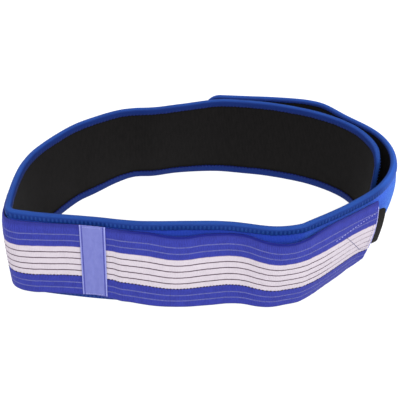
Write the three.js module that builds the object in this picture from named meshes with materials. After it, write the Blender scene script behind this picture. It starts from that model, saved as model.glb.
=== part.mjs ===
import * as THREE from 'three';

// Sacroiliac belt, fastened to a loop and standing on its lower edge. Millimetres, +Z up.
// The belt is drawn flat (along, up, out) and wrapped on the plan course of its upper rim.

const beltHeight = 88;
const cornerRadius = 14;

const shellThickness = 1.7;
const liningThickness = 1.5;
const seamGap = 0.3;
const bindingThickness = 1.0;
const bindingOuterLeg = 5.4;
const bindingInnerLegHigh = 5.2;
const bindingInnerLegLow = 8.5;
const bindingInnerLegShort = 2.2;

const strapThickness = 1.8;
const strapWidth = 78;
const strapLength = 257;
const strapSplit = 0.8;
const strapChamferAlong = 10;
const strapChamferUp = 8.5;

const tapeWidth = 22;
const tapeThickness = 1.0;
const tapeLow = 7.6;
const tapeHigh = 85.2;

const tabThickness = 1.0;
const tabLow = 29;
const tabHigh = 70;
const tabCovered = 34;
const tabBeyond = 11;
const tabCorner = 3;

const patchThickness = 2.8;
const patchLow = 22;
const patchHigh = 66;
const patchFromEnd = 16;
const patchLength = 46;

// Where the upper rim runs on the floor plan; foot: how far the lower edge stands further out.
// The wall curves down from one to the other; belly: how far it swells out above half height.
const courseRows = [
  { place: 'innerEnd', x: 156.5, y: 9, foot: -1.5, belly: 0 },
  { place: 'innerRight', x: 152, y: 32.5, foot: 2.3, belly: 0 },
  { place: 'innerShoulder', x: 138.5, y: 55.5, foot: 4, belly: 0 },
  { place: 'farRight', x: 109, y: 76.5, foot: 3.5, belly: 0 },
  { place: 'farSide', x: 65, y: 90.5, foot: 2.5, belly: 0 },
  { place: 'farMiddle', x: 31, y: 94.5, foot: 2.5, belly: 0 },
  { place: 'farCrown', x: 8, y: 94.2, foot: 4.3, belly: 0 },
  { place: 'dentRight', x: -29.5, y: 82.7, foot: 10.8, belly: 0 },
  { place: 'dent', x: -56, y: 74.5, foot: 11, belly: 0 },
  { place: 'dentLeft', x: -75.5, y: 71.5, foot: 11, belly: 0 },
  { place: 'farLeft', x: -91.3, y: 66.1, foot: 6.4, belly: 0 },
  { place: 'leftSlope', x: -116.7, y: 49, foot: 0.9, belly: 0 },
  { place: 'leftShoulder', x: -131.3, y: 35.8, foot: 0.4, belly: 0 },
  { place: 'leftSide', x: -157, y: -1.6, foot: -2, belly: 0 },
  { place: 'leftBulge', x: -164.6, y: -22, foot: -1.6, belly: 0 },
  { place: 'leftLow', x: -167.8, y: -41.9, foot: -1, belly: 0 },
  { place: 'leftHeel', x: -168.2, y: -78.5, foot: -1, belly: 0.5 },
  { place: 'corner', x: -165.7, y: -90.7, foot: -1.2, belly: 1 },
  { place: 'frontLeft', x: -150, y: -94.5, foot: -1.4, belly: 0 },
  { place: 'tape', x: -95, y: -98.5, foot: 0.8, belly: 0 },
  { place: 'frontBulge', x: -58.5, y: -101.5, foot: -1, belly: 0 },
  { place: 'frontHollow', x: 15, y: -97.5, foot: -1, belly: 0 },
  { place: 'frontCrest', x: 55.5, y: -101.5, foot: -3, belly: 0 },
  { place: 'frontTurn', x: 77.5, y: -97, foot: -4, belly: 0 },
  { place: 'frontSlope', x: 86.8, y: -91.1, foot: -3.7, belly: 0 },
  { place: 'frontRight', x: 121.7, y: -65.7, foot: -7, belly: 0 },
  { place: 'rightFront', x: 152.2, y: -35.8, foot: -10.5, belly: 3 },
  { place: 'rightSide', x: 166.8, y: -5.4, foot: -7.5, belly: 4.5 },
  { place: 'rightFar', x: 167.9, y: 23, foot: -3, belly: 3 },
  { place: 'rightShoulder', x: 158.1, y: 47.8, foot: 0, belly: 1.5 },
  { place: 'flapSlope', x: 131, y: 74.7, foot: 1.5, belly: 0 },
  { place: 'flapTurn', x: 110.5, y: 94.5, foot: 2, belly: 0 },
  { place: 'flapBend', x: 95, y: 100, foot: 2.5, belly: 0 },
  { place: 'flapBack', x: 64, y: 102.5, foot: 2.5, belly: 0 },
  { place: 'flapMiddle', x: 30, y: 102.5, foot: 2.5, belly: 0 },
  { place: 'flapEnd', x: -5, y: 102.5, foot: 5, belly: 0 },
];
const middleX = -0.57;
const middleY = -2.1;

// Each strap by distance from the join tape: the height of its upper edge, how far it hangs clear
// of the belt at its upper and lower edge, and how far it bows out between them.
const rightHang = [
  { along: 0, top: 83.4, upper: 0, lower: 0, bow: 0 },
  { along: 16, top: 82.8, upper: 0, lower: 1.8, bow: -1 },
  { along: 23, top: 82.7, upper: 0, lower: 3.9, bow: -0.5 },
  { along: 31, top: 82.6, upper: 0, lower: 4.7, bow: -0.4 },
  { along: 40, top: 82.4, upper: 0, lower: 6.4, bow: -0.4 },
  { along: 48, top: 82.1, upper: 0.7, lower: 7.7, bow: -0.2 },
  { along: 56, top: 81.9, upper: 2.9, lower: 8.6, bow: 0.2 },
  { along: 64, top: 81.8, upper: 4.8, lower: 9, bow: 0.7 },
  { along: 73, top: 81.7, upper: 5.6, lower: 9.1, bow: 0.6 },
  { along: 81, top: 81.6, upper: 4.8, lower: 8.9, bow: 0.2 },
  { along: 90, top: 81.7, upper: 2.6, lower: 8.2, bow: 0 },
  { along: 103, top: 81.7, upper: 1.3, lower: 6.7, bow: -0.7 },
  { along: 117, top: 81.7, upper: 0.1, lower: 4.2, bow: -1 },
  { along: 130, top: 81.7, upper: 0.7, lower: 3, bow: -0.8 },
  { along: 143, top: 81.6, upper: 5.2, lower: 4.2, bow: -0.5 },
  { along: 154, top: 81.5, upper: 8.4, lower: 4.3, bow: 0 },
  { along: 165, top: 81.5, upper: 8.6, lower: 3.2, bow: 0 },
  { along: 177, top: 81.5, upper: 4.8, lower: 3.6, bow: 1.4 },
  { along: 192, top: 81.6, upper: 2.3, lower: 2.8, bow: 3 },
  { along: 210, top: 81.7, upper: 0.8, lower: 1.1, bow: 3 },
  { along: 230, top: 81.8, upper: 1, lower: 0.4, bow: 1.7 },
  { along: 246, top: 81.9, upper: 1.2, lower: 0.5, bow: 1.6 },
  { along: 257, top: 82, upper: 1.3, lower: 4.4, bow: 1.5 },
];
const leftHang = [
  { along: 0, top: 84, upper: 0, lower: 0, bow: 0 },
  { along: 20, top: 83.8, upper: 0, lower: 1.4, bow: -0.9 },
  { along: 29, top: 83.4, upper: 0, lower: 1.4, bow: -0.5 },
  { along: 37, top: 83, upper: 0, lower: 1.9, bow: 0 },
  { along: 46, top: 82.8, upper: 0.4, lower: 2.6, bow: 0.2 },
  { along: 54, top: 82.6, upper: 1.1, lower: 3.8, bow: 0.3 },
  { along: 63, top: 82.5, upper: 2, lower: 3.2, bow: 0.2 },
  { along: 72, top: 82.4, upper: 1, lower: 1, bow: 0.4 },
  { along: 90, top: 82.2, upper: 0.1, lower: 0.6, bow: 0.6 },
  { along: 120, top: 82, upper: 0.1, lower: 0.4, bow: 0.3 },
  { along: 230, top: 81.8, upper: 0.6, lower: 0.2, bow: 1 },
  { along: 246, top: 81.9, upper: 1.2, lower: 0.5, bow: 1.6 },
  { along: 257, top: 82, upper: 1.3, lower: 4.4, bow: 1.5 },
];
// The hook tab's tip curls away from the belt beyond the strap's end, most at its lower corner.
const tabHang = [
  { along: 0, upper: 0, lower: 0 },
  { along: 12, upper: 0, lower: 0.6 },
  { along: tabCovered - 8, upper: 0, lower: 3.3 },
  { along: tabCovered, upper: 0.2, lower: 6.2 },
  { along: tabCovered + 5, upper: 1.4, lower: 8.2 },
  { along: tabCovered + tabBeyond, upper: 3.3, lower: 9.6 },
];

// Layers across the wall, measured outward from the seam between shell and lining.
const shellIn = seamGap / 2;
const shellOut = shellIn + shellThickness;
const liningOut = -seamGap / 2;
const liningIn = liningOut - liningThickness;
const bindingOut = shellOut + seamGap + bindingThickness;
const bindingIn = liningIn - seamGap - bindingThickness;
const strapIn = bindingOut + seamGap;
const strapOut = strapIn + strapThickness;
const tapeIn = strapOut + seamGap;
const tabIn = shellOut + seamGap;
const patchOut = liningIn - seamGap;
const edgeInset = bindingThickness + seamGap;

// The course as a smooth line with its length walked out in short steps.
const rowSteps = 24;
const course = new THREE.CatmullRomCurve3(
  courseRows.map((row) => new THREE.Vector3(row.x - middleX, row.y - middleY, row.foot)),
  false,
  'centripetal',
);
const walk = [];
for (let i = 0; i <= (courseRows.length - 1) * rowSteps; i++) {
  const point = course.getPoint(i / ((courseRows.length - 1) * rowSteps));
  const last = walk[walk.length - 1];
  const along = last ? last.along + Math.hypot(point.x - last.x, point.y - last.y) : 0;
  const row = Math.min(Math.floor(i / rowSteps), courseRows.length - 2);
  const belly = THREE.MathUtils.lerp(courseRows[row].belly, courseRows[row + 1].belly, i / rowSteps - row);
  walk.push({ along, x: point.x, y: point.y, foot: point.z, belly });
}
const beltLength = walk[walk.length - 1].along;
const alongAt = (place) => walk[courseRows.findIndex((row) => row.place === place) * rowSteps].along;
const tapeAlong = alongAt('tape');

function courseAt(along) {
  const s = Math.min(Math.max(along, 0), beltLength);
  let low = 0;
  let high = walk.length - 1;
  while (high - low > 1) {
    const half = (low + high) >> 1;
    if (walk[half].along <= s) low = half;
    else high = half;
  }
  const a = walk[low];
  const b = walk[high];
  const k = (s - a.along) / (b.along - a.along);
  const mix = (key) => a[key] + k * (b[key] - a[key]);
  return { x: mix('x'), y: mix('y'), foot: mix('foot'), belly: mix('belly') };
}

function outward(along) {
  const a = courseAt(along - 0.8);
  const b = courseAt(along + 0.8);
  return new THREE.Vector2(b.y - a.y, a.x - b.x).normalize();
}

function wrap(along, up, out) {
  const here = courseAt(along);
  const n = outward(along);
  const k = up / beltHeight;
  const reach = out + here.foot * (1 - k) ** 2 + here.belly * 6.75 * k * k * (1 - k);
  return new THREE.Vector3(here.x + n.x * reach, here.y + n.y * reach, up);
}

// Stops along the belt: close together where it turns, far apart where it runs straight.
const turnPerStop = 8;
const longestStop = 12;
const grid = [0];
let heading = outward(0);
for (let s = 1; s < beltLength; s += 1) {
  const now = outward(s);
  const turn = THREE.MathUtils.radToDeg(Math.acos(Math.min(1, now.dot(heading))));
  if (turn > turnPerStop || s - grid[grid.length - 1] >= longestStop) {
    grid.push(s);
    heading = now;
  }
}
function stops(from, to) {
  return [from, ...grid.filter((s) => s > from + 1.5 && s < to - 1.5), to];
}

// A smooth value read from a short table at one place.
function tableAt(rows, key, along) {
  let i = 0;
  while (i < rows.length - 2 && along > rows[i + 1].along) i++;
  const slope = (j) => {
    const a = rows[Math.max(j - 1, 0)];
    const b = rows[Math.min(j + 1, rows.length - 1)];
    return (b[key] - a[key]) / (b.along - a.along);
  };
  const a = rows[i];
  const b = rows[i + 1];
  const span = b.along - a.along;
  const t = Math.min(Math.max((along - a.along) / span, 0), 1);
  return (
    a[key] * (1 + 2 * t) * (1 - t) ** 2 +
    b[key] * t * t * (3 - 2 * t) +
    slope(i) * span * t * (1 - t) ** 2 -
    slope(i + 1) * span * t * t * (1 - t)
  );
}

// How far a hanging piece is clear of the belt at one height.
function clearOf(hang, along, up) {
  const k = up / beltHeight;
  const upper = Math.max(0, tableAt(hang, 'upper', along));
  const lower = Math.max(0, tableAt(hang, 'lower', along));
  return upper * k + lower * (1 - k);
}

// A solid from equal rings of points; the profile (up, out; counter-clockwise) closes both ends.
// Each face is split from its low corner forward to its high corner, so that layers stay parallel.
function sweptSolid(rings, profile) {
  const count = profile.length;
  const positions = rings.flat().flatMap((p) => [p.x, p.y, p.z]);
  const faces = [];
  for (let i = 0; i + 1 < rings.length; i++) {
    for (let j = 0; j < count; j++) {
      const k = (j + 1) % count;
      const a = i * count + j;
      const b = i * count + k;
      if (profile[k].x >= profile[j].x) faces.push(a, b, b + count, a, b + count, a + count);
      else faces.push(a, b, a + count, b, b + count, a + count);
    }
  }
  const last = (rings.length - 1) * count;
  for (const [a, b, c] of THREE.ShapeUtils.triangulateShape(profile, [])) {
    faces.push(c, b, a, last + a, last + b, last + c);
  }
  const geometry = new THREE.BufferGeometry();
  geometry.setAttribute('position', new THREE.Float32BufferAttribute(positions, 3));
  geometry.setIndex(faces);
  return geometry;
}

// A sheet's cross-section: its inner side from low to high, then its outer side back down.
// The belt's own layers have extra levels at the binding's legs.
const wallLevels = [0, 0.09, 0.36, 0.64, 0.91, 1];
const strapLevels = [0, 0.25, 0.5, 0.75, 1];
function sheetRing(levels, along, low, high, inner, outer) {
  const heights = levels.map((k) => low + k * (high - low));
  return [
    ...heights.map((up) => wrap(along, up, inner(up))),
    ...heights.reverse().map((up) => wrap(along, up, outer(up))),
  ];
}
function sheetSolid(levels, rings) {
  const profile = [
    ...levels.map((k) => new THREE.Vector2(k, 0)),
    ...levels.map((k) => new THREE.Vector2(k, 1)).reverse(),
  ];
  return sweptSolid(rings, profile);
}

// Distances from a rounded end, a quarter turn in even steps.
const quarterSteps = 6;
function quarter(radius) {
  const angles = Array.from({ length: quarterSteps + 1 }, (_, i) => (i * Math.PI) / 2 / quarterSteps);
  return angles.map((a) => radius * (1 - Math.cos(a)));
}

// One cloth layer of the belt: rounded corners, drawn in from the edge by the binding's fold.
function beltLayer(inner, outer) {
  const radius = cornerRadius - edgeInset;
  const start = edgeInset;
  const end = beltLength - edgeInset;
  const places = [
    ...quarter(radius).map((d) => start + d),
    ...stops(start + radius, end - radius).slice(1, -1),
    ...quarter(radius).map((d) => end - d).reverse(),
  ];
  const rings = places.map((s) => {
    const fromEnd = Math.min(s - start, end - s, radius);
    const drop = radius - Math.sqrt(Math.max(0, radius ** 2 - (radius - fromEnd) ** 2));
    const low = edgeInset + drop;
    return sheetRing(wallLevels, s, low, beltHeight - low, () => inner, () => outer);
  });
  return sheetSolid(wallLevels, rings);
}

// The folded edge tape, from mid height of one end along the upper or lower edge to the other end.
const bindingFold = (innerLeg) => [
  [0, bindingIn],
  [innerLeg, bindingIn],
  [innerLeg, liningIn - seamGap],
  [bindingThickness, liningIn - seamGap],
  [bindingThickness, shellOut + seamGap],
  [bindingOuterLeg, shellOut + seamGap],
  [bindingOuterLeg, bindingOut],
  [0, bindingOut],
];
// Its inner leg is tall along the lower edge, short round the ends and along the flap's upper edge.
function innerLegAt(p, upper) {
  const flap = THREE.MathUtils.smoothstep(p.along, alongAt('rightFront'), alongAt('rightFar'));
  const high = THREE.MathUtils.lerp(bindingInnerLegHigh, bindingInnerLegShort, flap);
  return THREE.MathUtils.lerp(bindingInnerLegShort, upper ? high : bindingInnerLegLow, p.intoUp);
}
function edgeBinding(upper) {
  const meeting = beltHeight / 2 - seamGap / 2;
  const turns = Array.from({ length: quarterSteps + 1 }, (_, i) => (i * Math.PI) / 2 / quarterSteps);
  const rim = [{ along: 0, up: meeting, intoAlong: 1, intoUp: 0 }];
  for (const a of turns) {
    rim.push({
      along: cornerRadius * (1 - Math.cos(a)),
      up: cornerRadius * (1 - Math.sin(a)),
      intoAlong: Math.cos(a),
      intoUp: Math.sin(a),
    });
  }
  const straight = stops(cornerRadius, beltLength - cornerRadius).slice(1, -1);
  const edge = [
    ...rim,
    ...straight.map((along) => ({ along, up: 0, intoAlong: 0, intoUp: 1 })),
    ...rim.map((p) => ({ ...p, along: beltLength - p.along, intoAlong: -p.intoAlong })).reverse(),
  ];
  const rings = edge.map((p) =>
    bindingFold(innerLegAt(p, upper)).map(([into, out]) => {
      const up = p.up + p.intoUp * into;
      return wrap(p.along + p.intoAlong * into, upper ? beltHeight - up : up, out);
    }),
  );
  const fold = bindingFold(bindingInnerLegShort);
  const profile = fold.map(([into, out]) => new THREE.Vector2(upper ? -into : into, out));
  if (upper) [profile, ...rings].forEach((list) => list.reverse());
  return sweptSolid(rings, profile);
}

// A striped elastic strap from the join tape outward; side +1 runs to the right, -1 to the left.
function elasticStrap(side, hang) {
  const from = side > 0 ? tapeAlong + strapSplit / 2 : tapeAlong - strapLength;
  const to = side > 0 ? tapeAlong + strapLength : tapeAlong - strapSplit / 2;
  const chamferStart = strapLength - strapChamferAlong;
  const places = stops(from, to).filter((s) => Math.abs(Math.abs(s - tapeAlong) - chamferStart) > 3);
  places.push(tapeAlong + side * chamferStart);
  places.sort((a, b) => a - b);
  const rings = places.map((s) => {
    const along = Math.abs(s - tapeAlong);
    const cut = Math.max(0, along - chamferStart) / strapChamferAlong;
    const high = tableAt(hang, 'top', along);
    const low = high - strapWidth + strapChamferUp * cut;
    const inner = (up) => {
      const t = (high - up) / strapWidth;
      return strapIn + clearOf(hang, along, up) + tableAt(hang, 'bow', along) * 4 * t * (1 - t);
    };
    return sheetRing(strapLevels, s, low, high, inner, (up) => inner(up) + strapThickness);
  });
  return sheetSolid(strapLevels, rings);
}

function joinTape() {
  const rings = [-0.5, -0.25, 0, 0.25, 0.5].map((k) => {
    const s = tapeAlong + k * tapeWidth;
    const hang = k < 0 ? leftHang : rightHang;
    const inner = (up) => tapeIn + clearOf(hang, Math.abs(k) * tapeWidth, up);
    return sheetRing(strapLevels, s, tapeLow, tapeHigh, inner, (up) => inner(up) + tapeThickness);
  });
  return sheetSolid(strapLevels, rings);
}

function hookTab(side) {
  const total = tabCovered + tabBeyond;
  const tip = quarter(tabCorner).map((d) => total - d).reverse();
  const places = [0, 8, 16, 25, tabCovered - 3, tabCovered + 2, tabCovered + 5.5, ...tip];
  const rings = places.map((d) => {
    const fromTip = Math.min(total - d, tabCorner);
    const drop = tabCorner - Math.sqrt(Math.max(0, tabCorner ** 2 - (tabCorner - fromTip) ** 2));
    const inner = (up) => tabIn + clearOf(tabHang, d, up);
    const s = tapeAlong + side * (strapLength - tabCovered + d);
    return sheetRing(strapLevels, s, tabLow + drop, tabHigh - drop, inner, (up) => inner(up) + tabThickness);
  });
  if (side < 0) rings.reverse();
  return sheetSolid(strapLevels, rings);
}

function closureHook() {
  const from = beltLength - patchFromEnd - patchLength;
  const rings = stops(from, beltLength - patchFromEnd).map((s) =>
    sheetRing(strapLevels, s, patchLow, patchHigh, () => patchOut - patchThickness, () => patchOut),
  );
  return sheetSolid(strapLevels, rings);
}

function cloth(name, color) {
  const material = new THREE.MeshStandardMaterial({ color, roughness: 0.9, metalness: 0 });
  material.name = name;
  return material;
}
const shellCloth = cloth('shell_knit', 0x2444b4);
const liningCloth = cloth('lining_knit', 0x1b1a1b);
const bindingCloth = cloth('binding_tape', 0x1c459c);
const strapCloth = cloth('strap_elastic', 0x4343b6);
const tapeCloth = cloth('join_tape_web', 0x7d82cd);
const hookCloth = cloth('hook_web', 0x231e1d);

const belt = new THREE.Group();
belt.name = 'sacroiliac_belt';
function add(name, geometry, material) {
  const piece = new THREE.Mesh(geometry, material);
  piece.name = name;
  belt.add(piece);
}
add('belt_shell', beltLayer(shellIn, shellOut), shellCloth);
add('belt_lining', beltLayer(liningIn, liningOut), liningCloth);
add('binding_upper', edgeBinding(true), bindingCloth);
add('binding_lower', edgeBinding(false), bindingCloth);
add('strap_right', elasticStrap(1, rightHang), strapCloth);
add('strap_left', elasticStrap(-1, leftHang), strapCloth);
add('join_tape', joinTape(), tapeCloth);
add('hook_tab_right', hookTab(1), hookCloth);
add('hook_tab_left', hookTab(-1), hookCloth);
add('closure_hook', closureHook(), hookCloth);

export default belt;
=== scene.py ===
import bpy
import math
import numpy as np
from mathutils import Matrix, Vector


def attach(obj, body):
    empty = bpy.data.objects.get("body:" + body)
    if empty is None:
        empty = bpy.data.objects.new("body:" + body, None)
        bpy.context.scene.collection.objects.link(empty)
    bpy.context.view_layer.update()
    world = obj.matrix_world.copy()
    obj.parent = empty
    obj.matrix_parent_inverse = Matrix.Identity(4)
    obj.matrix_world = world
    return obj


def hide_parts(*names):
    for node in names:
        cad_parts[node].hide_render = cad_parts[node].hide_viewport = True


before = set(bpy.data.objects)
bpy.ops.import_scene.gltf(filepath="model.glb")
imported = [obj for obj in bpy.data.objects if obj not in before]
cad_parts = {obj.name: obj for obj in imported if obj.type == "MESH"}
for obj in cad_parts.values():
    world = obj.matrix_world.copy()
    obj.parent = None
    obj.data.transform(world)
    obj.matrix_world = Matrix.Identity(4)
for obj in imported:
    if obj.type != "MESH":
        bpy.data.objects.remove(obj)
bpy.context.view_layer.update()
scene = bpy.context.scene
print("frame loaded with", len(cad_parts), "nodes")

# where the photograph was taken from: metres, degrees down, radians of turn about the line of sight
view = dict(place=(-0.00686, -0.66043, 0.5528), down=38.0, turn=0.04, focalPixels=884.0,
            imagePixels=400.0, sensor=36.0)


def placeCamera():
    lens = bpy.data.cameras.new("photoCamera")
    lens.sensor_fit = "HORIZONTAL"
    lens.sensor_width = view["sensor"]
    lens.lens = view["sensor"] * view["focalPixels"] / view["imagePixels"]
    lens.clip_end = 50
    camera = bpy.data.objects.new("photoCamera", lens)
    scene.collection.objects.link(camera)
    tilt = Matrix.Rotation(math.radians(90 - view["down"]), 4, "X")
    roll = Matrix.Rotation(view["turn"], 4, "Z")
    camera.matrix_world = Matrix.Translation(view["place"]) @ tilt @ roll
    scene.camera = camera


placeCamera()
print("camera placed")

# the belt's run on the floor plan, millimetres: rim x and y, how far the foot stands out, belly
courseRows = {
    "innerEnd": (156.5, 9, -1.5, 0),
    "innerRight": (152, 32.5, 2.3, 0),
    "innerShoulder": (138.5, 55.5, 4, 0),
    "farRight": (109, 76.5, 3.5, 0),
    "farSide": (65, 90.5, 2.5, 0),
    "farMiddle": (31, 94.5, 2.5, 0),
    "farCrown": (8, 94.2, 4.3, 0),
    "dentRight": (-29.5, 82.7, 10.8, 0),
    "dent": (-56, 74.5, 11, 0),
    "dentLeft": (-75.5, 71.5, 11, 0),
    "farLeft": (-91.3, 66.1, 6.4, 0),
    "leftSlope": (-116.7, 49, 0.9, 0),
    "leftShoulder": (-131.3, 35.8, 0.4, 0),
    "leftSide": (-157, -1.6, -2, 0),
    "leftBulge": (-164.6, -22, -1.6, 0),
    "leftLow": (-167.8, -41.9, -1, 0),
    "leftHeel": (-168.2, -78.5, -1, 0.5),
    "corner": (-165.7, -90.7, -1.2, 1),
    "frontLeft": (-150, -94.5, -1.4, 0),
    "tape": (-95, -98.5, 0.8, 0),
    "frontBulge": (-58.5, -101.5, -1, 0),
    "frontHollow": (15, -97.5, -1, 0),
    "frontCrest": (55.5, -101.5, -3, 0),
    "frontTurn": (77.5, -97, -4, 0),
    "frontSlope": (86.8, -91.1, -3.7, 0),
    "frontRight": (121.7, -65.7, -7, 0),
    "rightFront": (152.2, -35.8, -10.5, 3),
    "rightSide": (166.8, -5.4, -7.5, 4.5),
    "rightFar": (167.9, 23, -3, 3),
    "rightShoulder": (158.1, 47.8, 0, 1.5),
    "flapSlope": (131, 74.7, 1.5, 0),
    "flapTurn": (110.5, 94.5, 2, 0),
    "flapBend": (95, 100, 2.5, 0),
    "flapBack": (64, 102.5, 2.5, 0),
    "flapMiddle": (30, 102.5, 2.5, 0),
    "flapEnd": (-5, 102.5, 5, 0),
}
belt = dict(height=88.0, corner=14.0, middle=(-0.57, -2.1), rowSteps=60, window=1.6,
            endThin=0.26, endRun=18.0, bellyPeak=6.75)


def walkCourse():
    rows = np.array(list(courseRows.values()), float)
    rows[:, :2] -= belt["middle"]
    spots = rows[:, :3]
    spots = np.vstack([2 * spots[0] - spots[1], spots, 2 * spots[-1] - spots[-2]])
    t = np.linspace(0, 1, belt["rowSteps"], endpoint=False)[:, None]
    walked = []
    for i in range(len(rows) - 1):
        a, b, c, d = spots[i:i + 4]
        ab, bc, cd = (math.sqrt(np.linalg.norm(step)) for step in (b - a, c - b, d - c))
        leave = ((b - a) / ab - (c - a) / (ab + bc) + (c - b) / bc) * bc
        arrive = ((c - b) / bc - (d - b) / (bc + cd) + (d - c) / cd) * bc
        run = (b * (1 + 2 * t) * (1 - t) ** 2 + leave * t * (1 - t) ** 2
               + c * t * t * (3 - 2 * t) - arrive * t * t * (1 - t))
        belly = rows[i, 3] + t * (rows[i + 1, 3] - rows[i, 3])
        walked.append(np.hstack([run, belly]))
    walked.append(rows[-1:])
    walked = np.vstack(walked)
    along = np.concatenate([[0], np.cumsum(np.hypot(*np.diff(walked[:, :2], axis=0).T))])
    return along, walked


walkAlong, walkSpots = walkCourse()
beltLength = walkAlong[-1]


def alongAt(place):
    return walkAlong[list(courseRows).index(place) * belt["rowSteps"]]


tapeAlong = alongAt("tape")


def courseAt(along):
    return [np.interp(along, walkAlong, walkSpots[:, column]) for column in range(4)]


# from the flat pattern (along, up, out; millimetres) to the loop (metres)
def wrap(along, up, out):
    along, up, out = np.broadcast_arrays(*(np.asarray(v, float) for v in (along, up, out)))
    x, y, foot, belly = courseAt(along)
    backX, backY = courseAt(along - belt["window"])[:2]
    nextX, nextY = courseAt(along + belt["window"])[:2]
    span = np.hypot(nextX - backX, nextY - backY)
    k = up / belt["height"]
    near = np.clip(np.minimum(along, beltLength - along) / belt["endRun"], 0, 1)
    pressed = 1 - belt["endThin"] * (1 - near) ** 2   # the bound ends are pressed a little thinner
    reach = out * pressed + foot * (1 - k) ** 2 + belly * belt["bellyPeak"] * k * k * (1 - k)
    x = x + (nextY - backY) / span * reach
    y = y - (nextX - backX) / span * reach
    return np.stack([x, y, up], axis=-1) * 0.001


# a table's column at any place along it, eased from row to row
def tableAt(rows, column, along):
    rows = np.array(rows, float)
    change = np.vstack([rows[1:], rows[-1:]]) - np.vstack([rows[:1], rows[:-1]])
    slope = change[:, column] / change[:, 0]
    along = np.asarray(along, float)
    i = np.clip(np.searchsorted(rows[:, 0], along, side="left") - 1, 0, len(rows) - 2)
    span = rows[i + 1, 0] - rows[i, 0]
    t = np.clip((along - rows[i, 0]) / span, 0, 1)
    return (rows[i, column] * (1 + 2 * t) * (1 - t) ** 2 + rows[i + 1, column] * t * t * (3 - 2 * t)
            + slope[i] * span * t * (1 - t) ** 2 - slope[i + 1] * span * t * t * (1 - t))


# how far a hanging piece is clear of the belt; the two columns hold its upper and its lower edge
def clearOf(rows, upper, lower, along, up):
    k = up / belt["height"]
    high = np.maximum(0, tableAt(rows, upper, along))
    low = np.maximum(0, tableAt(rows, lower, along))
    return high * k + low * (1 - k)


# a few sines of unrelated lengths, so that a run of cloth is never quite even
def uneven(place, lengths, seed):
    place = np.asarray(place, float)
    waves = [np.sin(place * 2 * math.pi / length + seed * (1.7 + 2.3 * i))
             for i, length in enumerate(lengths)]
    return sum(waves) / len(lengths)


def linkPiece(name, mesh, material):
    mesh.materials.append(material)
    piece = bpy.data.objects.new(name, mesh)
    scene.collection.objects.link(piece)
    return piece


# the flat pattern is kept as texture coordinates, in units of 100 millimetres
flatUnit = 100


# a closed skin over rings of points; flat holds each point's place on the cloth in millimetres
def skinOver(name, spots, flat, material):
    count, around = spots.shape[:2]
    number = np.arange(count * around).reshape(count, around)
    turned = np.roll(number, -1, axis=1)
    quads = np.stack([number[:-1], turned[:-1], turned[1:], number[1:]], axis=-1).reshape(-1, 4)
    faces = quads.tolist() + [number[0, ::-1].tolist(), number[-1].tolist()]
    points = spots.reshape(-1, 3)
    a, b, c, d = (points[quads[:, i]] for i in range(4))
    volume = np.einsum("ij,ij->i", a, np.cross(b, c)).sum() + np.einsum("ij,ij->i", a, np.cross(c, d)).sum()
    if volume < 0:
        faces = [face[::-1] for face in faces]
    mesh = bpy.data.meshes.new(name)
    mesh.from_pydata(points.tolist(), [], faces)
    layer = mesh.uv_layers.new(name="flat")
    corner = np.zeros(len(mesh.loops), np.int32)
    mesh.loops.foreach_get("vertex_index", corner)
    layer.data.foreach_set("uv", (flat.reshape(-1, 2)[corner] / flatUnit).astype(np.float32).ravel())
    mesh.shade_smooth()
    mesh.validate()
    return linkPiece(name, mesh, material)


def finishPiece(piece, slot, *nodes):
    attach(piece, "root")
    if nodes:
        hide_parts(*nodes)
    print(piece.name, len(piece.data.polygons), "faces")


# a socket that can be reckoned with
class Wire:
    def __init__(self, tree, socket=None):
        self.tree = tree
        self.socket = socket

    def node(self, kind, settings=(), inputs=(), output=0):
        made = self.tree.nodes.new(kind)
        for key, value in dict(settings).items():
            setattr(made, key, value)
        for key, value in dict(inputs).items():
            if isinstance(value, Wire):
                self.tree.links.new(value.socket, made.inputs[key])
            else:
                made.inputs[key].default_value = value
        return Wire(self.tree, made.outputs[output] if len(made.outputs) else None)

    def reckon(self, operation, *values):
        return self.node("ShaderNodeMath", {"operation": operation}, dict(enumerate(values)))

    def __add__(self, other):
        return self.reckon("ADD", self, other)

    def __radd__(self, other):
        return self.reckon("ADD", other, self)

    def __sub__(self, other):
        return self.reckon("SUBTRACT", self, other)

    def __rsub__(self, other):
        return self.reckon("SUBTRACT", other, self)

    def __mul__(self, other):
        return self.reckon("MULTIPLY", self, other)

    def __rmul__(self, other):
        return self.reckon("MULTIPLY", other, self)

    def __truediv__(self, other):
        return self.reckon("DIVIDE", self, other)


def paint(red, green, blue):
    values = [v / 255 for v in (red, green, blue)]
    return tuple(v / 12.92 if v <= 0.04045 else ((v + 0.055) / 1.055) ** 2.4 for v in values) + (1.0,)


def wave(place, pitch):
    return place.reckon("SINE", place * (2 * math.pi / pitch)) * 0.5 + 0.5


def step(place, low, high):
    return place.node("ShaderNodeMapRange", {"interpolation_type": "SMOOTHSTEP"},
                      {"Value": place, "From Min": low, "From Max": high})


def speckle(along, up, size, stretch=1.0, detail=2.0):
    spot = along.node("ShaderNodeCombineXYZ", (), {0: along / stretch, 1: up, 2: 0.0})
    return along.node("ShaderNodeTexNoise", {"noise_dimensions": "2D"},
                      {"Vector": spot, "Scale": 1 / size, "Detail": detail, "Roughness": 0.6})


def blend(first, second, share):
    return share.node("ShaderNodeMix", {"data_type": "RGBA"}, {0: share, 6: first, 7: second}, output=2)


def startCloth(name):
    material = bpy.data.materials.new(name)
    material.use_nodes = True
    material.node_tree.nodes.clear()
    start = Wire(material.node_tree)
    flat = start.node("ShaderNodeUVMap", {"uv_map": "flat"})
    along = start.node("ShaderNodeSeparateXYZ", (), {0: flat}) * flatUnit
    up = start.node("ShaderNodeSeparateXYZ", (), {0: flat}, output=1) * flatUnit
    return material, along, up


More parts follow.
